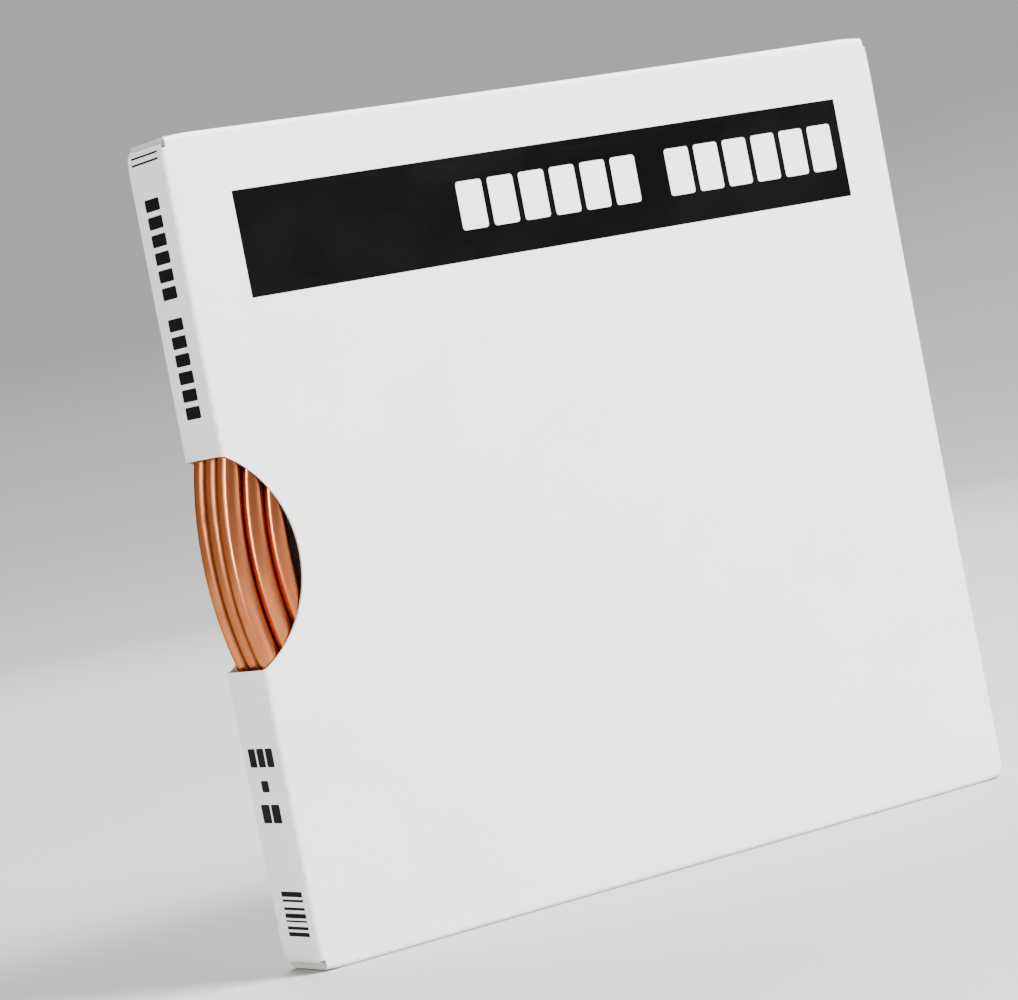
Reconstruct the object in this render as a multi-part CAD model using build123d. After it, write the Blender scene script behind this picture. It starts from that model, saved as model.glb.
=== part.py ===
from build123d import *
import math
import os

# A boxed coil of soft copper tube, standing on its end like a book on a shelf.
# The carton is one die-cut and folded blank of white board: a front panel, a narrow spine,
# a back panel and a far side, with closing flaps at both ends and a glue flap at one corner.
# A round window is cut across the spine, and the turns of the coil show and bulge through it.
# Sizes are in millimetres. The origin is the middle of the carton's base.
# X runs from the spine to the far side, Y from the front panel to the back, and Z is up.

# The tube: a quarter inch across and fifteen feet long
tube_diameter = 6.35
tube_length = 4572.0
layer_turns = (3, 3, 1)  # turns side by side in each layer, the outermost layer first
turn_gap = 0.3  # looseness between neighbouring turns
web_reach = 0.95  # the groove between two turns ends this far above their centre line

# The board and its folds
board = 0.8
fold_inside = 0.5  # inner radius of a creased fold
dust_flap_length = 30.0  # from the outside of the panel that it hinges on
dust_flap_taper = 1.6  # how far each side slants in, so that the wide flaps fold past it
dust_flap_rounding = 5.0
flap_edge_gap = 0.2  # between the inner flap's free edge and the fold in front of it
glue_flap_width = 14.0
glue_flap_taper = 5.0  # how far the ends of the glue flap slant

# The room that the carton leaves round the coil
panel_clearance = 0.6  # between the coil and the front and back panels
rest_gap = 0.3  # between the coil and what it rests on
head_room = 1.75  # over the coil
spare_width = 19.2  # the carton is this much wider than the coil

# The window across the spine
window_height = 58.5
window_depth = 18.0  # how far it reaches into the front and back panels
window_drop = 2.1  # its middle is this far below the middle of the carton

# The coil follows from the length of the tube in its turns
turn_count = sum(layer_turns)
turn_pitch = tube_diameter + turn_gap
tube_radius = tube_diameter / 2
layer_depths = [tube_radius + layer * turn_pitch for layer in range(len(layer_turns))]
depth_of_turns = sum(turns * depth for turns, depth in zip(layer_turns, layer_depths))
coil_radius = (tube_length / (2 * math.pi) + depth_of_turns) / turn_count
coil_width = (max(layer_turns) - 1) * turn_pitch + tube_diameter

# The carton is sized round the coil
fold_outside = fold_inside + board
end_layers = 2 * board  # the outer and the inner closing flap
carton_thickness = coil_width + 2 * (panel_clearance + board)
carton_width = 2 * coil_radius + spare_width
carton_height = 2 * (coil_radius + end_layers) + rest_gap + head_room

front_face = -carton_thickness / 2
back_face = carton_thickness / 2
spine_face = -carton_width / 2
far_face = carton_width / 2
middle_height = carton_height / 2
wall_height = carton_height - 2 * (end_layers + fold_outside)  # straight part of the spine

# The coil stands on the inner flap and leans out against the nearer edge of the window
window_middle = middle_height - window_drop
coil_middle = end_layers + rest_gap + coil_radius
nearer_edge = window_height / 2 - abs(coil_middle - window_middle)
seat_radius = coil_radius + rest_gap
coil_centre = spine_face + board + math.sqrt(seat_radius**2 - nearer_edge**2)


def turn_rows():
    """Each layer's radius and the places of its turns across the coil, filled from the front."""
    first_turn = -(max(layer_turns) - 1) / 2 * turn_pitch
    for turns, depth in zip(layer_turns, layer_depths):
        yield coil_radius - depth, [first_turn + turn * turn_pitch for turn in range(turns)]


def turn_section():
    """The section of the wound turns: a disc for each turn and a web that joins them."""
    rows = list(turn_rows())
    section = Sketch()
    for radius, places in rows:
        for place in places:
            section += Pos(radius, place) * Circle(tube_radius)
        row_length = places[-1] - places[0]
        row_middle = (places[0] + places[-1]) / 2
        section += Pos(radius, row_middle) * Rectangle(2 * web_reach, row_length + 2 * web_reach)
    for (radius, _), (next_radius, places) in zip(rows, rows[1:]):
        link_length = places[-1] - places[0] + 2 * web_reach
        link_middle = ((radius + next_radius) / 2, (places[0] + places[-1]) / 2)
        section += Pos(*link_middle) * Rectangle(radius - next_radius, link_length)
    return section


def tube_coil():
    """The wound tube as one turned solid, with its bore open and its turns in relief."""
    return Pos(coil_centre, 0, coil_middle) * revolve(turn_section(), Axis.Y)


def flapped_panel(panel_face, inward, height, depth, span, span_middle=0.0):
    """A panel with a flap folded in at its top and bottom, bent from one strip of board.

    The panel's outer face passes through panel_face and its flaps reach depth along inward."""
    outside = Pos(depth / 2, 0) * Rectangle(depth, height)
    outside = fillet(outside.vertices().group_by(Axis.X)[0], fold_outside)
    inside = Pos((depth + board) / 2, 0) * Rectangle(depth - board, height - 2 * board)
    inside = fillet(inside.vertices().group_by(Axis.X)[0], fold_inside)
    along = inward.cross(Vector(0, 0, 1))
    section_plane = Plane(origin=panel_face + along * span_middle, x_dir=inward, z_dir=along)
    return extrude(section_plane * (outside - inside), span / 2, both=True)


def narrow_panel(panel_face, inward, height, span):
    """The spine or the far side, with its dust flaps tapering to a rounded free edge."""
    half_hinge = span / 2
    half_free = half_hinge - dust_flap_taper
    outline = Polyline(
        (0, half_hinge),
        (0, -half_hinge),
        (fold_outside, -half_hinge),
        (dust_flap_length, -half_free),
        (dust_flap_length, half_free),
        (fold_outside, half_hinge),
        close=True,
    )
    plan = make_face(outline)
    plan = fillet(plan.vertices().group_by(Axis.X)[-1], dust_flap_rounding)
    plan_plane = Plane(origin=panel_face, x_dir=inward, z_dir=(0, 0, 1))
    panel = flapped_panel(panel_face, inward, height, dust_flap_length, span)
    return panel & extrude(plan_plane * plan, height / 2, both=True)


def upright_fold(centre_x, centre_y, side_x, side_y):
    """The creased fold between two upright panels: a quarter of a ring."""
    ring = Circle(fold_outside) - Circle(fold_inside)
    quarter_middle = (side_x * fold_outside / 2, side_y * fold_outside / 2)
    quarter = ring & Pos(*quarter_middle) * Rectangle(fold_outside, fold_outside)
    return Pos(centre_x, centre_y, middle_height) * extrude(quarter, wall_height / 2, both=True)


def glue_flap():
    """The strip inside the far side that closes the blank into a tube, with slanted ends."""
    hinge = back_face - fold_outside
    free_edge = hinge - glue_flap_width
    half_hinge = wall_height / 2
    half_free = half_hinge - glue_flap_taper
    outline = Polyline(
        (hinge, -half_hinge), (hinge, half_hinge), (free_edge, half_free), (free_edge, -half_free), close=True
    )
    flap_plane = Plane(origin=(far_face - board, 0, middle_height), x_dir=(0, 1, 0), z_dir=(1, 0, 0))
    return extrude(flap_plane * make_face(outline), -board)


def window():
    """What the die cuts away: straight across the spine, and an arc into both wide panels."""
    half_height = window_height / 2
    spine_inside = spine_face + board
    clear_of_spine = spine_face - window_depth
    straight = Polyline(
        (spine_inside, -half_height),
        (clear_of_spine, -half_height),
        (clear_of_spine, half_height),
        (spine_inside, half_height),
    )
    arc = ThreePointArc(
        (spine_inside, half_height), (spine_face + window_depth, 0), (spine_inside, -half_height)
    )
    upright_plane = Plane(origin=(0, 0, window_middle), x_dir=(1, 0, 0), z_dir=(0, -1, 0))
    return extrude(upright_plane * make_face(straight + arc), carton_thickness, both=True)


def carton():
    """The folded and glued carton with its window."""
    middle = Vector(0, 0, middle_height)
    right = Vector(1, 0, 0)
    backward = Vector(0, 1, 0)
    across_folds = carton_thickness - 2 * fold_outside
    front_span = carton_width - 2 * fold_outside
    back_span = front_span - board
    inner_flap = carton_thickness - fold_outside - flap_edge_gap
    side_height = carton_height - 2 * end_layers
    front = flapped_panel(
        middle + backward * front_face, backward, carton_height, carton_thickness - fold_outside, front_span
    )
    back = flapped_panel(
        middle + backward * back_face, -backward, carton_height - 2 * board, inner_flap, back_span, board / 2
    )
    spine = narrow_panel(middle + right * spine_face, right, side_height, across_folds)
    far_side = narrow_panel(middle + right * far_face, -right, side_height, across_folds)
    near_x = spine_face + fold_outside
    far_x = far_face - fold_outside
    near_y = front_face + fold_outside
    far_y = back_face - fold_outside
    folds = [
        upright_fold(near_x, near_y, -1, -1),
        upright_fold(near_x, far_y, -1, 1),
        upright_fold(far_x, near_y, 1, -1),
        upright_fold(far_x - board, far_y, 1, 1),
    ]
    blank = front.fuse(back, spine, far_side, glue_flap(), *folds)
    return blank - window()


if __name__ == "__main__":
    os.makedirs("parts", exist_ok=True)
    export_step(tube_coil(), "parts/tube_coil.step")
    export_step(carton(), "parts/carton.step")
    print("coil diameter", round(2 * coil_radius, 2), "width", round(coil_width, 2))
    print("carton", round(carton_width, 2), round(carton_thickness, 2), round(carton_height, 2))
    print("bulge past the spine", round(spine_face - (coil_centre - coil_radius), 2))
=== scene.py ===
import math

import bpy
import numpy as np
from mathutils import Matrix, Vector, geometry, noise


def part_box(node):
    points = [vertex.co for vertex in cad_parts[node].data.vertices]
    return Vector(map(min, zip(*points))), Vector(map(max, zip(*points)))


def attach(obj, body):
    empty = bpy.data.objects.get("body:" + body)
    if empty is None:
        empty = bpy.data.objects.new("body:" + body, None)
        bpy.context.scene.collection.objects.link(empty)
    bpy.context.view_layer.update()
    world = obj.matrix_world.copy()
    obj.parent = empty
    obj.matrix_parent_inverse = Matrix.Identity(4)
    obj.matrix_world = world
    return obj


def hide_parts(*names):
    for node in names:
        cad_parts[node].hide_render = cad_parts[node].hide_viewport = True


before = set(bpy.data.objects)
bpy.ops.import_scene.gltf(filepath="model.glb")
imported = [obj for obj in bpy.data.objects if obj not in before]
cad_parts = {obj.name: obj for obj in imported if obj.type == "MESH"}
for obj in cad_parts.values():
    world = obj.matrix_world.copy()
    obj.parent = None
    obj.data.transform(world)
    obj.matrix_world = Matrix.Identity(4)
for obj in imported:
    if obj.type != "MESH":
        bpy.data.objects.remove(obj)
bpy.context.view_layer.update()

# The carton's blank
# One sheet of white-lined board, cut flat by a die with a window across the spine. It wraps round
# the coil from the far side over the front, the spine and the back to a glue flap, and each panel
# has a flap at both ends. The blank is drawn in millimetres: wrap runs along it, rise up it.
MM = 0.001
carton_low, carton_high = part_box("carton")
carton_width, carton_thickness, carton_height = (carton_high - carton_low) / MM
half_width = carton_width / 2
half_thickness = carton_thickness / 2
half_height = carton_height / 2

board = 0.8
crease_radius = 1.3  # on the printed side
crease_length = crease_radius * math.pi / 2
side_width = carton_thickness - 2 * crease_radius
front_width = carton_width - 2 * crease_radius
dust_flap = 28.7
dust_flap_taper = 1.6  # how far each side slants in
dust_flap_rounding = 5.0
glue_flap = 14.0
glue_flap_taper = 5.0  # how far each end slants in
flap_edge_gap = 0.2  # between the inner flap's free edge and the fold in front of it

window_height = 58.5
window_depth = 18.0  # how far it reaches into the front and back panels
window_drop = 2.1  # its middle is this far below the carton's


class Panel:
    """One upright panel of the blank, with its end flaps folded under some layers of board."""

    edge_tolerance = 0.001
    corner_points = 7  # along a rounded corner of its flaps

    def __init__(self, start, width, layers_over, flap, taper, rounding):
        self.start = start
        self.end = start + width
        self.crease = half_height - layers_over * board - crease_radius
        self.hinge = self.crease + crease_length
        self.reach = self.hinge + flap
        self.taper = taper
        self.rounding = rounding

    def holds(self, wrap):
        """Whether a place on the wrap is on this panel, its two edges included."""
        return self.start - self.edge_tolerance < wrap < self.end + self.edge_tolerance

    def flap_edge(self):
        """The cut round the panel's top flap, from one end of its hinge to the other."""
        lean = math.atan2(self.taper, self.reach - self.hinge)
        rounding_reach = self.rounding * (1 - math.sin(lean)) / math.cos(lean)
        arc_middle = self.start + self.taper + rounding_reach
        arc_points = self.corner_points if self.rounding else 1
        edge = [(self.start, self.hinge)]
        for angle in np.linspace(math.pi - lean, math.pi / 2, arc_points):
            across, along = self.rounding * math.cos(angle), self.rounding * math.sin(angle)
            edge.append((arc_middle + across, self.reach - self.rounding + along))
        return edge + [(self.start + self.end - wrap, rise) for wrap, rise in reversed(edge)]


panels = {}
wrap_end = 0.0
for name, width, layers_over, flap, taper, rounding in (
    ("far side", side_width, 2, dust_flap, dust_flap_taper, dust_flap_rounding),
    ("front", front_width, 0, side_width, 0.0, 0.0),
    ("spine", side_width, 2, dust_flap, dust_flap_taper, dust_flap_rounding),
    ("back", front_width - board, 1, side_width - flap_edge_gap, 0.0, 0.0),
):
    panels[name] = Panel(wrap_end, width, layers_over, flap, taper, rounding)
    wrap_end = panels[name].end + crease_length
wall_reach = panels["spine"].crease  # the creases between panels are this long, up and down


def blank_outline():
    """The die's cut round the outside of the blank, as corners in order."""
    top = []
    for panel in panels.values():
        top += [(panel.start, wall_reach)] + panel.flap_edge() + [(panel.end, wall_reach)]
    top += [(wrap_end, wall_reach), (wrap_end + glue_flap, wall_reach - glue_flap_taper)]
    return top + [(wrap, -rise) for wrap, rise in reversed(top)]


def window_outline():
    """The die's cut round the window: an arc in each wide panel, straight across the spine."""
    arc_points = 33
    half_chord = window_height / 2
    depth = window_depth - board
    radius = (half_chord**2 + depth**2) / (2 * depth)
    centre = window_depth - radius
    crease_angle = math.acos((crease_radius - centre) / radius)
    angles = np.linspace(crease_angle, -crease_angle, arc_points)
    reaches, rises = centre + radius * np.cos(angles), radius * np.sin(angles)
    spine = panels["spine"]
    front_edge = panels["front"].end + crease_radius
    back_edge = panels["back"].start - crease_radius
    front = list(zip(front_edge - reaches, rises))
    back = list(zip(back_edge + reaches, -rises))
    below = [(spine.start, -half_chord), (spine.end, -half_chord)]
    above = [(spine.end, half_chord), (spine.start, half_chord)]
    return [(wrap, rise - window_drop) for wrap, rise in front + below + back + above]


def wrapped(wrap):
    """The point of the printed face this far along the wrap, and the way out of it, in plan."""
    corner = Vector((half_width, half_thickness - crease_radius))
    outward = Vector((1.0, 0.0))
    for panel in panels.values():
        onward = Vector((outward.y, -outward.x))
        if wrap <= panel.end:
            return corner + onward * (wrap - panel.start), outward
        corner = corner + onward * (panel.end - panel.start)
        if panel is panels["back"] or wrap <= panel.end + crease_length:
            break
        corner = corner + (onward - outward) * crease_radius
        outward = onward
    turn = min((wrap - panel.end) / crease_radius, math.pi / 2)
    middle = corner - outward * crease_radius
    turned = outward * math.cos(turn) + onward * math.sin(turn)
    past = max(wrap - panel.end - crease_length, 0.0)
    return middle + turned * crease_radius - outward * past, turned


def folded(wrap, rise):
    """Where a point of the flat blank's printed face ends up on the closed carton."""
    point, outward = wrapped(wrap)
    height, inset = abs(rise), 0.0
    for panel in panels.values():
        past = height - panel.crease
        if panel.holds(wrap) and past > 0:
            turn = min(past / crease_radius, math.pi / 2)
            height = panel.crease + crease_radius * math.sin(turn)
            inset = crease_radius * (1 - math.cos(turn)) + max(past - crease_length, 0.0)
            break
    point = point - outward * inset
    return Vector((point.x, point.y, half_height + math.copysign(height, rise)))


coil_low, coil_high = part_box("tube_coil")
coil_middle = (coil_low + coil_high) / 2 / MM
coil_ring_radius = 101.0  # at the middle of its turns
coil_ring_width = 13.0
edge_sink, wave_sink, unbacked_sink = 0.12, 0.10, 0.2  # of the wide panels
far_side_sink, top_sink = 0.7, 0.45
belly_power, sink_power = 3.0, 12  # the higher, the closer to its edges a panel bends
wave_length, wave_slice = 55.0, 40.0  # the waves' size, and the slice of noise that they are
knock_depth, knock_reach = 0.5, 5.0


def slackened(point):
    """The same point on a carton that has been filled and handled, never outside the new one.

    The wide panels belly between their creases and the coil's ring shows through them, the far
    side and the top sink a little where nothing backs them, the board waves, and the corners
    are knocked in."""
    x, y, z = point
    across = x / half_width
    upward = z / half_height - 1
    belly = (1 - abs(across) ** belly_power) * (1 - abs(upward) ** belly_power)
    wave = 0.5 + 0.5 * noise.noise(Vector((x, z, wave_slice)) / wave_length)
    off_ring = math.dist((x, z), (coil_middle.x, coil_middle.z)) - coil_ring_radius
    unbacked = 1 - math.exp(-((off_ring / coil_ring_width) ** 2))
    sink = edge_sink * (1 - belly) + wave_sink * wave + unbacked_sink * unbacked
    y -= y / half_thickness * sink
    x -= far_side_sink * max(across, 0.0) ** sink_power * (1 - upward**2)
    z -= top_sink * max(upward, 0.0) ** sink_power * (1 - across**2)
    for corner_x in (-half_width, half_width):
        for corner_z in (0.0, carton_height):
            away = math.hypot(x - corner_x, z - corner_z)
            knock = knock_depth * math.exp(-((away / knock_reach) ** 2))
            x -= math.copysign(knock, corner_x)
            z += knock if corner_z == 0.0 else -knock
    return Vector((x, y, z)) * MM


# The carton's printing
# Black ink on the white side of the board: a band across the head of the front panel with plain
# blocks left white in it, and small dark bars down the spine. It says nothing.
front_left = panels["front"].end + crease_radius  # a distance on the front is taken from here
spine_front = panels["spine"].start - crease_radius
arc_steps = 4  # round each corner of a bar


def bar(left, right, bottom, top, rounding):
    """A printed bar's outline on the blank, with its corners rounded off."""
    if not rounding:
        return [(left, bottom), (right, bottom), (right, top), (left, top)]
    arc_middles = (
        (right - rounding, top - rounding),
        (left + rounding, top - rounding),
        (left + rounding, bottom + rounding),
        (right - rounding, bottom + rounding),
    )
    outline = []
    for corner, (x, y) in enumerate(arc_middles):
        for step in range(arc_steps + 1):
            angle = (corner + step / arc_steps) * math.pi / 2
            outline.append((x + rounding * math.cos(angle), y + rounding * math.sin(angle)))
    return outline


def on_front(left, right, bottom, top, rounding=0.0):
    """A bar on the front panel, placed from its spine edge and from the floor."""
    low, high = bottom - half_height, top - half_height
    return bar(front_left - right, front_left - left, low, high, rounding)


def on_spine(left, right, middle, height, rounding=0.0):
    """A bar on the spine, placed from its edge at the front panel and from the floor."""
    low, high = middle - height / 2 - half_height, middle + height / 2 - half_height
    return bar(spine_front + left, spine_front + right, low, high, rounding)


band = on_front(left=18.7, right=226.5, bottom=182.0, top=211.5)
block_width, block_pitch, block_rounding = 8.6, 10.6, 0.9
block_bottom, block_top = 190.6, 204.4
blocks_in_group = 6
blocks = []
for first in (89.0, 161.4):
    for block in range(blocks_in_group):
        left = first + block * block_pitch
        blocks.append(on_front(left, left + block_width, block_bottom, block_top, block_rounding))

spine_marks = []
mark_rounding = 0.5
dash_width, dash_height, dash_pitch = 8.8, 3.4, 4.85
dashes_in_group, group_gap = 6, 3.8
highest_dash = 211.7
dash_left = (carton_thickness - dash_width) / 2
for dash in range(2 * dashes_in_group):
    gap = group_gap if dash >= dashes_in_group else 0.0
    middle = highest_dash - dash * dash_pitch - gap
    dash_right = dash_left + dash_width
    spine_marks.append(on_spine(dash_left, dash_right, middle, dash_height, mark_rounding))

row_gap = 0.9
for first, count, width, middle, height in (  # three short rows of blocks under the window
    (4.2, 3, 4.2, 59.3, 5.2),
    (10.0, 1, 4.4, 51.4, 3.2),
    (6.2, 2, 5.0, 43.8, 5.2),
):
    for block in range(count):
        left = first + block * (width + row_gap)
        spine_marks.append(on_spine(left, left + width, middle, height, mark_rounding))

rule_left, rule_right, rule_height, rule_rounding = 2.8, 19.4, 0.6, 0.25
for middle in (225.5, 223.5):  # two thin rules at the head of the spine
    spine_marks.append(on_spine(rule_left, rule_right, middle, rule_height, rule_rounding))

stripe_left, stripe_right = 3.2, 15.4
stripe_top = 22.3
for height, space in (  # plain stripes at the foot of the spine
    (1.5, 0.7),
    (0.7, 1.5),
    (0.8, 0.9),
    (1.3, 0.6),
    (0.5, 1.2),
    (0.9, 0.7),
    (1.2, 0.0),
):
    spine_marks.append(on_spine(stripe_left, stripe_right, stripe_top - height / 2, height))
    stripe_top -= height + space

# The folded carton
# The blank is meshed flat, with an edge along every cut, crease and print outline, then folded up
# as one sheet and given its thickness inwards. Its glued layers lie on each other at both ends.
ply = 0.76  # drawn a hair thinner than the board, so that glued layers show their edges
grid_spacing = 4.5
near_crease = (0.9, 2.2)  # extra rows of points beside each crease, where the coating rubs
crease_steps = np.linspace(0.0, crease_length, 6)  # rows of points across each crease
sliver_gap = 0.7  # no point of the grid lies closer to a slanting edge
merge_distance = 1e-5
points, cuts = [], []


def enclosed(outline, points):
    """Which of the points lie inside an outline."""
    x, y = points.T
    inside = np.zeros(len(points), bool)
    for (x0, y0), (x1, y1) in zip(outline, outline[1:] + outline[:1]):
        crosses = (y0 > y) != (y1 > y)
        with np.errstate(divide="ignore", invalid="ignore"):
            inside ^= crosses & (x < (x1 - x0) * (y - y0) / (y1 - y0) + x0)
    return inside


def add_line(line, closed=False):
    """Adds a cut, crease or print outline to the mesh as edges."""
    first = len(points)
    points.extend(line)
    count = len(line)
    cuts.extend((first + i, first + i + 1) for i in range(count - 1))
    if closed:
        cuts.append((first + count - 1, first))


def spread(start, end):
    """Evenly spaced values from start to end, about the grid's spacing apart."""
    return np.linspace(start, end, max(2, round((end - start) / grid_spacing) + 1))


def panel_grid(panel):
    """Points spread over a panel and its two flaps, closer together at its creases."""
    columns = list(spread(panel.start, panel.end))
    columns += [panel.start + step for step in near_crease]
    columns += [panel.end - step for step in near_crease]
    upper_rows = [panel.crease - step for step in near_crease]
    upper_rows += [panel.crease + step for step in crease_steps]
    upper_rows += list(spread(panel.hinge, panel.reach))
    rows = list(spread(-panel.crease, panel.crease)) + upper_rows + [-r for r in upper_rows]
    return [(wrap, rise) for wrap in columns for rise in rows]


outline, window = blank_outline(), window_outline()
prints = [(band, True)] + [(b, False) for b in blocks] + [(m, True) for m in spine_marks]
for shape in [outline, window] + [shape for shape, _ in prints]:
    add_line(shape, closed=True)
for panel in panels.values():
    for step in crease_steps:
        add_line([(panel.end + step, -wall_reach), (panel.end + step, wall_reach)])
        for side in (-1, 1):
            rise = side * (panel.crease + step)
            add_line([(panel.start, rise), (panel.end, rise)])

wall_rows = spread(-wall_reach, wall_reach)
grid = [(wrap, rise) for wrap in spread(wrap_end, wrap_end + glue_flap) for rise in wall_rows]
slanting_edges = [shape + shape[:1] for shape in [window] + [shape for shape, _ in prints]]
for panel in panels.values():
    grid += panel_grid(panel)
    grid += [(panel.end + step, rise) for step in crease_steps for rise in wall_rows]
    if panel.taper:
        edge = panel.flap_edge()
        slanting_edges += [[(wrap, side * rise) for wrap, rise in edge] for side in (-1, 1)]


def clear_of_edges(candidates):
    """The candidates that keep off every edge that isn't on the grid, so that no sliver forms."""
    candidates = np.array(candidates)
    keep = np.ones(len(candidates), bool)
    for line in slanting_edges:
        low, high = np.min(line, 0) - sliver_gap, np.max(line, 0) + sliver_gap
        near = np.nonzero(((candidates > low) & (candidates < high)).all(1))[0]
        for start, end in zip(line, line[1:]):
            start, run = np.array(start), np.array(end) - np.array(start)
            along = np.clip((candidates[near] - start) @ run / (run @ run), 0, 1)
            gap = np.linalg.norm(candidates[near] - start - along[:, None] * run, axis=1)
            keep[near[gap < sliver_gap]] = False
    return candidates[keep]


points.extend(map(tuple, clear_of_edges(grid)))
points, merged = np.unique(np.round(points, decimals=4), axis=0, return_inverse=True)
cuts = merged.ravel()[cuts].tolist()
out_to_hull, with_origins = 0, False  # triangles past the cuts too, which are taken away below
flat_points, _, flat_faces, *_ = geometry.delaunay_2d_cdt(
    [Vector(p) for p in points], cuts, [], out_to_hull, merge_distance, with_origins
)
flat = np.array(flat_points)
triangles = np.array(flat_faces)
centres = flat[triangles].mean(1)
kept = enclosed(outline, centres) & ~enclosed(window, centres)
inked = np.zeros(len(triangles), bool)
for shape, is_ink in prints:
    inked[enclosed(shape, centres)] = is_ink
triangles, inked = triangles[kept], inked[kept]


def rubbed(wrap, rise):
    """How much a point is rubbed: 1 on a crease, fading to 0 beside it."""
    rub_reach = near_crease[1]
    gaps = [rub_reach]
    for panel in panels.values():
        gaps.append(abs(wrap - panel.end - crease_length / 2) - crease_length / 2)
        if panel.holds(wrap):
            gaps.append(abs(abs(rise) - panel.crease - crease_length / 2) - crease_length / 2)
    return 1 - min(max(min(gaps), 0.0) / rub_reach, 1.0)


def new_object(name, data):
    """An object with this mesh, light or camera, placed in the scene."""
    obj = bpy.data.objects.new(name, data)
    bpy.context.scene.collection.objects.link(obj)
    return obj


def made_plain(obj, name):
    """The object with its modifiers worked in, as a plain mesh of its own."""
    depsgraph = bpy.context.evaluated_depsgraph_get()
    mesh = bpy.data.meshes.new_from_object(
        obj.evaluated_get(depsgraph), preserve_all_data_layers=True, depsgraph=depsgraph
    )
    mesh.name = name
    plain = new_object(name, mesh)
    bpy.data.objects.remove(obj)
    return plain


used, triangles = np.unique(triangles, return_inverse=True)
triangles = triangles.reshape(-1, 3)
folded_points = [slackened(folded(*flat[i])) for i in used]
blank_mesh = bpy.data.meshes.new("carton_board")
blank_mesh.from_pydata(folded_points, [], triangles[:, ::-1].tolist())
wear = blank_mesh.attributes.new("wear", "FLOAT", "POINT")
wear.data.foreach_set("value", [rubbed(*flat[i]) for i in used])
blank_mesh.polygons.foreach_set("material_index", inked.astype(int))
blank = new_object("carton_blank", blank_mesh)

finish_of_slot = np.array([0, 1, 2, 2, 3, 3])  # plain and inked: outside, inside, at a cut edge
for _ in finish_of_slot:
    blank_mesh.materials.append(None)
thickness = blank.modifiers.new("thickness", "SOLIDIFY")
thickness.thickness = ply * MM
thickness.offset = -1
thickness.material_offset = 2
thickness.material_offset_rim = 4
carton = made_plain(blank, "folded_carton")
carton.data.polygons.foreach_set("use_smooth", [True] * len(carton.data.polygons))
carton.data.set_sharp_from_angle(angle=math.radians(32))

# The carton's board and ink
# The printed side is coated, white and smooth, and the ink lies on it. The inside and every cut
# edge are bare grey pulp. Along the creases the coating and the ink are a little rubbed.


class Nodes:
    """A short way to write a material or a node group."""

    def __init__(self, tree):
        self.tree = tree

    def feed(self, socket, value):
        """Links another node's output to a socket, or sets a plain value on it."""
        if isinstance(value, bpy.types.NodeSocket):
            self.tree.links.new(value, socket)
        else:
            socket.default_value = value

    def add(self, kind, inputs=None, **settings):
        """A new node with its settings and its inputs."""
        made = self.tree.nodes.new(kind)
        for key, value in settings.items():
            setattr(made, key, value)
        for key, value in (inputs or {}).items():
            self.feed(made.inputs[key], value)
        return made

    def math(self, operation, *values):
        """The result of one sum on its values, in order."""
        return self.add("ShaderNodeMath", dict(enumerate(values)), operation=operation).outputs[0]

    def fade(self, value, low, high, to_low=0.0, to_high=1.0):
        """A smooth passage from to_low to to_high as the value goes from low to high."""
        inputs = {
            "Value": value,
            "From Min": low,
            "From Max": high,
            "To Min": to_low,
            "To Max": to_high,
        }
        made = self.add("ShaderNodeMapRange", inputs, interpolation_type="SMOOTHSTEP")
        return made.outputs[0]

    def mix(self, amount, first, second):
        """A colour between two others; a Mix node's colour sockets are numbers 6 and 7."""
        made = self.add("ShaderNodeMix", {0: amount, 6: first, 7: second}, data_type="RGBA")
        return made.outputs[2]


def new_group(name, inputs, outputs):
    """An empty shader group with number inputs, given as name and start value, and outputs."""
    group = bpy.data.node_groups.new(name, "ShaderNodeTree")
    new_socket = group.interface.new_socket
    for label, start in inputs.items():
        socket = new_socket(label, in_out="INPUT", socket_type="NodeSocketFloat")
        socket.default_value = start
    for label in outputs:
        new_socket(label, in_out="OUTPUT", socket_type="NodeSocketFloat")
    nodes = Nodes(group)
    return group, nodes, nodes.add("NodeGroupInput").outputs, nodes.add("NodeGroupOutput").inputs


def noise_of_size(nodes, place, size, detail, roughness=0.5):
    """Noise with patches about this size."""
    scale = nodes.math("DIVIDE", 1.0, size)
    inputs = {"Vector": place, "Scale": scale, "Detail": detail, "Roughness": roughness}
    return nodes.add("ShaderNodeTexNoise", inputs).outputs[0]


def board_fibre():
    """Pulp fibre in the board: a cloudy shade and a fine tooth, both from -1 to 1 or so."""
    group, nodes, given, out = new_group(
        "board fibre", {"Cloud Size": 0.02, "Fibre Size": 0.0006}, ("Cloud", "Tooth")
    )
    place = nodes.add("ShaderNodeTexCoord").outputs["Object"]
    cloud = noise_of_size(nodes, place, given["Cloud Size"], detail=5.0)
    tooth = noise_of_size(nodes, place, given["Fibre Size"], detail=3.0)
    nodes.feed(out["Cloud"], nodes.fade(cloud, 0.3, 0.7, -1.0, 1.0))
    nodes.feed(out["Tooth"], nodes.fade(tooth, 0.25, 0.75, -1.0, 1.0))
    return group


def rub_marks():
    """Where handling has rubbed the coating: broken patches that follow the wear attribute."""
    group, nodes, given, out = new_group(
        "rub marks", {"Reach": 0.5, "Patch Size": 0.0018}, ("Rubbed",)
    )
    place = nodes.add("ShaderNodeTexCoord").outputs["Object"]
    worn = nodes.add("ShaderNodeAttribute", attribute_name="wear").outputs["Fac"]
    patch = noise_of_size(nodes, place, given["Patch Size"], detail=6.0, roughness=0.7)
    level = nodes.math("MULTIPLY", worn, given["Reach"])
    edge = nodes.math("SUBTRACT", nodes.math("ADD", patch, level), 1.0)
    nodes.feed(out["Rubbed"], nodes.fade(edge, -0.05, 0.12))
    return group


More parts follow.
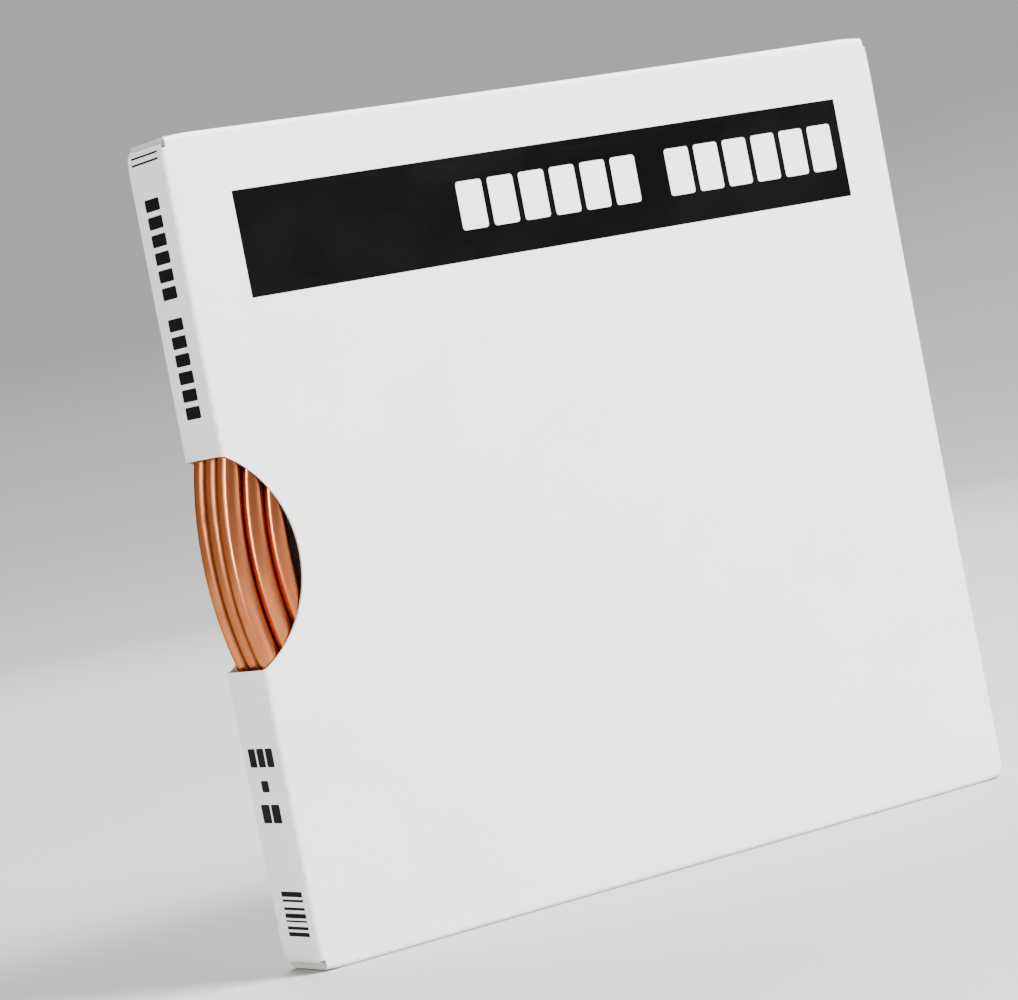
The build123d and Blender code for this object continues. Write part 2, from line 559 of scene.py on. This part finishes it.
fibre_group, rub_group = board_fibre(), rub_marks()


def new_material(name):
    """A material of one shader, the nodes to write more with, and that shader's inputs."""
    material = bpy.data.materials.new(name)
    material.use_nodes = True
    shader = material.node_tree.nodes["Principled BSDF"]
    return material, Nodes(material.node_tree), shader.inputs


def coated_face(name, colour, cloud_colour, rubbed_colour, roughness, rubbed_roughness, specular):
    """The outside of the board, plain or inked: smooth, a little cloudy, rubbed at its creases."""
    material, nodes, shader = new_material(name)
    fibre_sizes = {"Cloud Size": 0.028, "Fibre Size": 0.0011}
    fibre = nodes.add("ShaderNodeGroup", fibre_sizes, node_tree=fibre_group)
    rub = nodes.add("ShaderNodeGroup", {"Reach": 0.47}, node_tree=rub_group).outputs["Rubbed"]
    cloud, tooth = fibre.outputs["Cloud"], fibre.outputs["Tooth"]
    shade = nodes.mix(nodes.fade(cloud, -1.0, 1.0), colour, cloud_colour)
    nodes.feed(shader["Base Color"], nodes.mix(rub, shade, rubbed_colour))
    nodes.feed(shader["Specular IOR Level"], specular)
    dull = nodes.fade(rub, 0.0, 1.0, roughness, rubbed_roughness)
    nodes.feed(shader["Roughness"], nodes.math("MULTIPLY_ADD", cloud, 0.015, dull))
    relief = nodes.math("ADD", nodes.math("MULTIPLY", tooth, 0.5), cloud)
    bump = nodes.add("ShaderNodeBump", {"Strength": 0.16, "Distance": 0.00006, "Height": relief})
    nodes.feed(shader["Normal"], bump.outputs["Normal"])
    return material


def bare_board(name, colour, fleck_colour, fibre_size):
    """Uncoated recycled pulp, as on the inside and at every cut edge: dull, with flecks."""
    material, nodes, shader = new_material(name)
    fibre_sizes = {"Cloud Size": 0.012, "Fibre Size": fibre_size}
    fibre = nodes.add("ShaderNodeGroup", fibre_sizes, node_tree=fibre_group)
    cloud, tooth = fibre.outputs["Cloud"], fibre.outputs["Tooth"]
    nodes.feed(shader["Base Color"], nodes.mix(nodes.fade(tooth, 0.1, 0.75), colour, fleck_colour))
    nodes.feed(shader["Roughness"], 0.92)
    relief = nodes.math("ADD", tooth, nodes.math("MULTIPLY", cloud, 0.4))
    bump = nodes.add("ShaderNodeBump", {"Strength": 0.4, "Distance": 0.0001, "Height": relief})
    nodes.feed(shader["Normal"], bump.outputs["Normal"])
    return material


finishes = (
    coated_face(
        "coated board",
        colour=(0.88, 0.878, 0.865, 1),
        cloud_colour=(0.855, 0.852, 0.838, 1),
        rubbed_colour=(0.74, 0.725, 0.69, 1),
        roughness=0.40,
        rubbed_roughness=0.75,
        specular=0.5,
    ),
    coated_face(
        "printing ink",
        colour=(0.002, 0.002, 0.0022, 1),
        cloud_colour=(0.0035, 0.0035, 0.0037, 1),
        rubbed_colour=(0.30, 0.29, 0.28, 1),
        roughness=0.36,
        rubbed_roughness=0.7,
        specular=0.03,
    ),
    bare_board("bare board", (0.50, 0.465, 0.41, 1), (0.38, 0.345, 0.30, 1), fibre_size=0.0008),
    bare_board("cut edge", (0.60, 0.565, 0.51, 1), (0.46, 0.42, 0.37, 1), fibre_size=0.0003),
)
slots = np.empty(len(carton.data.polygons), int)
carton.data.polygons.foreach_get("material_index", slots)
carton.data.materials.clear()
for finish in finishes:
    carton.data.materials.append(finish)
carton.data.polygons.foreach_set("material_index", finish_of_slot[slots])

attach(carton, "root")
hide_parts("carton")

# The tube
# One length of soft copper tube, wound from the inside out into seven lanes: one in the inner
# layer, three in the middle one and three in the outer. It lies straight in its lane past the
# window and steps over to the next lane on the far side of the coil, one step after another.
tube_diameter = 6.35 * MM
tube_wall = 0.76 * MM
lane_pitch = 6.65 * MM
outer_lane_radius = (coil_high.z - coil_low.z) / 2 - tube_diameter / 2
inner_lane_radius = outer_lane_radius - 2 * lane_pitch
front_lane = -lane_pitch  # the tube starts in the lane at the front
lane_steps = (  # outward and backward, in lanes, and when in the turn each step is made
    (1, 0, 0.31),
    (0, 1, 0.25),
    (0, 1, 0.25),
    (1, 0, 0.19),
    (0, -1, 0.13),
    (0, -1, 0.13),
)
step_length = 0.06  # of a turn, which starts at the top and goes down the far side


class GeometryTree(Nodes):
    """A geometry tree with a geometry input and output and named numbers for its sizes."""

    def __init__(self, name, sizes):
        tree = bpy.data.node_groups.new(name, "GeometryNodeTree")
        super().__init__(tree)
        tree.interface.new_socket("Geometry", in_out="INPUT", socket_type="NodeSocketGeometry")
        self.sizes = sizes
        for label in sizes:
            tree.interface.new_socket(label, in_out="INPUT", socket_type="NodeSocketFloat")
        tree.interface.new_socket("Geometry", in_out="OUTPUT", socket_type="NodeSocketGeometry")
        self.given = self.add("NodeGroupInput").outputs

    def capture(self, geometry_socket, fields):
        """The outputs of a node that takes fields, given as name, kind and field, with a shape."""
        made = self.add("GeometryNodeCaptureAttribute", {"Geometry": geometry_socket})
        for label, (kind, field) in fields.items():
            made.capture_items.new(kind, label)
            self.feed(made.inputs[label], field)
        return made.outputs

    def store(self, geometry_socket, name, kind, value):
        """The shape with a value kept at each of its points, for a material to read."""
        return self.add(
            "GeometryNodeStoreNamedAttribute",
            {"Geometry": geometry_socket, "Name": name, "Value": value},
            data_type=kind,
            domain="POINT",
        ).outputs[0]

    def finish(self, geometry_socket):
        """Sends the finished shape out of the tree."""
        self.add("NodeGroupOutput", {"Geometry": geometry_socket})

    def put_on(self, obj):
        """Puts the tree on an object as a modifier, with its sizes set by socket identifier."""
        modifier = obj.modifiers.new(self.tree.name, "NODES")
        modifier.node_group = self.tree
        for item in self.tree.interface.items_tree:
            if item.in_out == "INPUT" and item.name in self.sizes:
                modifier[item.identifier] = float(self.sizes[item.name])


def lane_reached(nodes, turn):
    """How far outward and backward the tube has stepped by a place in its turns, in lanes."""
    layer, lane = 0.0, 0.0
    for number, (outward, backward, moment) in enumerate(lane_steps):
        start = number + 1 + moment
        stepped = nodes.fade(turn, start, start + step_length)
        if outward:
            layer = nodes.math("MULTIPLY_ADD", stepped, outward, layer)
        if backward:
            lane = nodes.math("MULTIPLY_ADD", stepped, backward, lane)
    return layer, lane


def lane_place(nodes):
    """Where each point of the tube's centre line lies, swaying a little in its lane."""
    given = nodes.given
    index = nodes.add("GeometryNodeInputIndex").outputs[0]
    turned = nodes.math("DIVIDE", index, given["Points per Turn"])
    turn = nodes.math("ADD", turned, given["Start Turn"])
    layer, lane = lane_reached(nodes, turn)

    def sway(pace, shift):
        swing = nodes.math("SINE", nodes.math("MULTIPLY_ADD", turn, pace, shift))
        return nodes.math("MULTIPLY", swing, given["Looseness"])

    radius = nodes.math("MULTIPLY_ADD", layer, given["Lane Pitch"], given["First Radius"])
    inward_sway = nodes.math("SUBTRACT", sway(pace=23.7, shift=0.4), given["Looseness"])
    radius = nodes.math("ADD", radius, inward_sway)
    across = nodes.math("MULTIPLY_ADD", lane, given["Lane Pitch"], given["First Lane"])
    across = nodes.math("ADD", across, sway(pace=17.1, shift=2.0))
    angle = nodes.math("MULTIPLY", turn, 2 * math.pi)
    x = nodes.math("MULTIPLY_ADD", nodes.math("SINE", angle), radius, given["Centre X"])
    z = nodes.math("MULTIPLY_ADD", nodes.math("COSINE", angle), radius, given["Centre Z"])
    return nodes.add("ShaderNodeCombineXYZ", {"X": x, "Y": across, "Z": z}).outputs[0]


def facing_next_turn(nodes, centre, surface):
    """How squarely the tube's surface faces a turn that lies beside it, 1 at the most."""
    centre_across = nodes.add("ShaderNodeSeparateXYZ", {"Vector": centre}).outputs["Y"]
    surface_across = nodes.add("ShaderNodeSeparateXYZ", {"Vector": surface}).outputs["Y"]
    backward = nodes.math("SUBTRACT", surface_across, centre_across)
    forward = nodes.math("MULTIPLY", backward, -1.0)
    half_pitch = nodes.math("MULTIPLY", nodes.given["Lane Pitch"], 0.5)
    turn_behind = nodes.math("LESS_THAN", centre_across, half_pitch)
    minus_half_pitch = nodes.math("MULTIPLY", half_pitch, -1.0)
    turn_before = nodes.math("GREATER_THAN", centre_across, minus_half_pitch)
    facing_behind = nodes.math("MULTIPLY", backward, turn_behind)
    facing_before = nodes.math("MULTIPLY", forward, turn_before)
    facing = nodes.math("MAXIMUM", facing_behind, facing_before)
    return nodes.math("DIVIDE", facing, nodes.given["Tube Radius"])


def wound_tube(material):
    """The tree that winds a tube along its lanes, with open ends, as a surface."""
    nodes = GeometryTree(
        "wound tube",
        {
            "Start Turn": 0.38,
            "End Turn": 7.12,
            "Points per Turn": 132,
            "Lane Pitch": lane_pitch,
            "First Radius": inner_lane_radius,
            "First Lane": front_lane,
            "Tube Radius": tube_diameter / 2,
            "Centre X": coil_middle.x * MM,
            "Centre Z": coil_middle.z * MM,
            "Looseness": 0.11 * MM,
        },
    )
    given = nodes.given
    turns = nodes.math("SUBTRACT", given["End Turn"], given["Start Turn"])
    count = nodes.math("MULTIPLY", turns, given["Points per Turn"])
    line = nodes.add("GeometryNodeMeshLine", {"Count": count}).outputs[0]
    path = nodes.add("GeometryNodeSetPosition", {"Geometry": line, "Position": lane_place(nodes)})
    curve = nodes.add("GeometryNodeMeshToCurve", {"Mesh": path.outputs[0]}).outputs[0]
    ring_sizes = {"Resolution": 24, "Radius": given["Tube Radius"]}
    ring = nodes.add("GeometryNodeCurvePrimitiveCircle", ring_sizes).outputs[0]

    position = nodes.add("GeometryNodeInputPosition").outputs[0]
    length = nodes.add("GeometryNodeSplineParameter").outputs["Length"]
    path_fields = {"Along": ("FLOAT", length), "Centre": ("VECTOR", position)}
    path_kept = nodes.capture(curve, path_fields)
    ring_kept = nodes.capture(ring, {"Ring Place": ("VECTOR", position)})
    sweep = {"Curve": path_kept["Geometry"], "Profile Curve": ring_kept["Geometry"]}
    tube = nodes.add("GeometryNodeCurveToMesh", sweep).outputs[0]

    on_ring = nodes.add("ShaderNodeSeparateXYZ", {"Vector": ring_kept["Ring Place"]}).outputs
    places = {"X": path_kept["Along"], "Y": on_ring["X"], "Z": on_ring["Y"]}
    tube_place = nodes.add("ShaderNodeCombineXYZ", places).outputs[0]
    beside_turn = facing_next_turn(nodes, path_kept["Centre"], position)
    tube = nodes.store(tube, "tube_place", "FLOAT_VECTOR", tube_place)
    # beside_turn is the mask for the copper's painted groove shade
    tube = nodes.store(tube, "beside_turn", "FLOAT", beside_turn)
    smooth = nodes.add("GeometryNodeSetShadeSmooth", {"Geometry": tube})
    real = nodes.add("GeometryNodeRealizeInstances", {"Geometry": smooth.outputs[0]})
    surface = {"Geometry": real.outputs[0], "Material": material}
    nodes.finish(nodes.add("GeometryNodeSetMaterial", surface).outputs[0])
    return nodes


def drawn_copper():
    """Drawn soft copper: bright, with fine lines along the tube, dull bloom and darker stains.

    Where a turn lies against the next, by the attribute beside_turn, its colour goes near black
    and dull: painted shade in the groove between the turns."""
    material, nodes, shader = new_material("drawn copper")
    place = nodes.add("ShaderNodeAttribute", attribute_name="tube_place").outputs["Vector"]

    def noise_along(squeeze, scale, detail):
        squeezed = {"Vector": place, "Scale": (squeeze, 1.0, 1.0)}
        vector = nodes.add("ShaderNodeMapping", squeezed).outputs[0]
        inputs = {"Vector": vector, "Scale": scale, "Detail": detail}
        return nodes.add("ShaderNodeTexNoise", inputs).outputs[0]

    lines = noise_along(0.012, scale=4200.0, detail=4.0)
    bloom = noise_along(0.12, scale=260.0, detail=5.0)
    solid = nodes.add("ShaderNodeTexCoord").outputs["Object"]
    blots = {"Vector": solid, "Scale": 75.0, "Detail": 6.0}
    stain = nodes.add("ShaderNodeTexNoise", blots).outputs[0]
    beside = nodes.add("ShaderNodeAttribute", attribute_name="beside_turn").outputs["Fac"]
    bloomed = nodes.fade(bloom, 0.38, 0.68)
    stained = nodes.fade(stain, 0.54, 0.72, 0.0, 0.65)
    # painted shade in the grooves between turns, where the surface faces the next turn
    painted_groove_shade = nodes.fade(beside, 0.52, 0.88, 0.0, 0.95)

    clean = nodes.mix(bloomed, (0.67, 0.21, 0.077, 1), (0.51, 0.15, 0.054, 1))
    marked = nodes.mix(stained, clean, (0.32, 0.10, 0.045, 1))
    # the near-black colour here is the painted groove shade
    nodes.feed(shader["Base Color"], nodes.mix(painted_groove_shade, marked, (0.07, 0.02, 0.01, 1)))
    nodes.feed(shader["Metallic"], 1.0)
    nodes.feed(shader["Specular Tint"], (0.62, 0.33, 0.22, 1))
    rough = nodes.fade(bloomed, 0.0, 1.0, 0.13, 0.24)
    rough = nodes.math("ADD", rough, nodes.math("MULTIPLY", stained, 0.2))
    rough = nodes.math("MULTIPLY_ADD", painted_groove_shade, 0.3, rough)
    nodes.feed(shader["Roughness"], nodes.math("MULTIPLY_ADD", lines, 0.08, rough))
    bump = nodes.add("ShaderNodeBump", {"Strength": 0.25, "Distance": 0.00004, "Height": lines})
    nodes.feed(shader["Normal"], bump.outputs["Normal"])
    return material


copper = drawn_copper()
winding = new_object("winding", bpy.data.meshes.new("winding"))
winding.data.materials.append(copper)
wound_tube(copper).put_on(winding)
wall = winding.modifiers.new("wall", "SOLIDIFY")
wall.thickness = tube_wall
wall.offset = -1
coil = made_plain(winding, "copper_tube")

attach(coil, "root")
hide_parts("tube_coil")

# The studio
# A pale floor that sweeps up all round, a large soft light over the front, a fill on the spine's
# side, a strip that draws a highlight along the tube, and a soft light behind.
floor_reach, sweep_radius = 1.9, 1.2
sweep_rings, sides = 25, 96
backdrop_points = [(0.0, 0.0, 0.0)]
for sweep_angle in np.linspace(0.0, math.pi / 2, sweep_rings):
    reach = floor_reach + sweep_radius * math.sin(sweep_angle)
    height = sweep_radius * (1 - math.cos(sweep_angle))
    for side in range(sides):
        angle = 2 * math.pi * side / sides
        backdrop_points.append((reach * math.cos(angle), reach * math.sin(angle), height))
backdrop_faces = [(0, 1 + i, 1 + (i + 1) % sides) for i in range(sides)]
for ring in range(sweep_rings - 1):
    inner, outer = 1 + ring * sides, 1 + (ring + 1) * sides
    for i in range(sides):
        j = (i + 1) % sides
        backdrop_faces.append((inner + i, outer + i, outer + j, inner + j))
backdrop_mesh = bpy.data.meshes.new("backdrop")
backdrop_mesh.from_pydata(backdrop_points, [], backdrop_faces)
backdrop_mesh.polygons.foreach_set("use_smooth", [True] * len(backdrop_faces))
paper, paper_nodes, paper_shader = new_material("backdrop paper")
paper_nodes.feed(paper_shader["Base Color"], (0.45, 0.45, 0.45, 1))
paper_nodes.feed(paper_shader["Roughness"], 0.9)
backdrop_mesh.materials.append(paper)
backdrop = new_object("backdrop", backdrop_mesh)

lights_aim = Vector((0.0, 0.0, 0.11))
for name, place, width, height, power in (
    ("key", (0.7, -1.0, 1.35), 0.8, 0.8, 135),
    ("fill", (-1.8, -0.2, 0.9), 0.4, 1.2, 5),
    ("strip", (-1.1, -0.45, 0.42), 0.07, 0.8, 9),
    ("back", (0.6, 1.5, 1.5), 1.0, 1.0, 70),
):
    light = bpy.data.lights.new(name, "AREA")
    light.shape = "RECTANGLE"
    light.size, light.size_y = width, height
    light.energy = power
    light_object = new_object(name, light)
    light_object.location = place
    aimed = (lights_aim - Vector(place)).to_track_quat("-Z", "Y")
    light_object.rotation_euler = aimed.to_euler()
world = bpy.data.worlds.new("studio")
world.use_nodes = True
world.node_tree.nodes["Background"].inputs["Color"].default_value = (1.0, 1.0, 1.0, 1)
world.node_tree.nodes["Background"].inputs["Strength"].default_value = 0.2
bpy.context.scene.world = world

# The camera
# It stands low before the carton's front and spine, with a long lens, and it is tipped over by
# eleven degrees as in the picture.
camera_place = Vector((-0.5733, -0.8730, 0.1452))
camera_aim = Vector((-0.0199, 0.0130, 0.1132))
camera_roll = math.radians(11.016)
camera = bpy.data.cameras.new("camera")
camera.lens = 128.1
camera.sensor_width = 36.0
camera_object = new_object("camera", camera)
forward = (camera_aim - camera_place).normalized()
level = forward.cross(Vector((0, 0, 1))).normalized()
upright = level.cross(forward)
right = level * math.cos(camera_roll) - upright * math.sin(camera_roll)
up = level * math.sin(camera_roll) + upright * math.cos(camera_roll)
turned = Matrix((right, up, -forward)).transposed().to_4x4()
camera_object.matrix_world = Matrix.Translation(camera_place) @ turned
bpy.context.scene.camera = camera_object
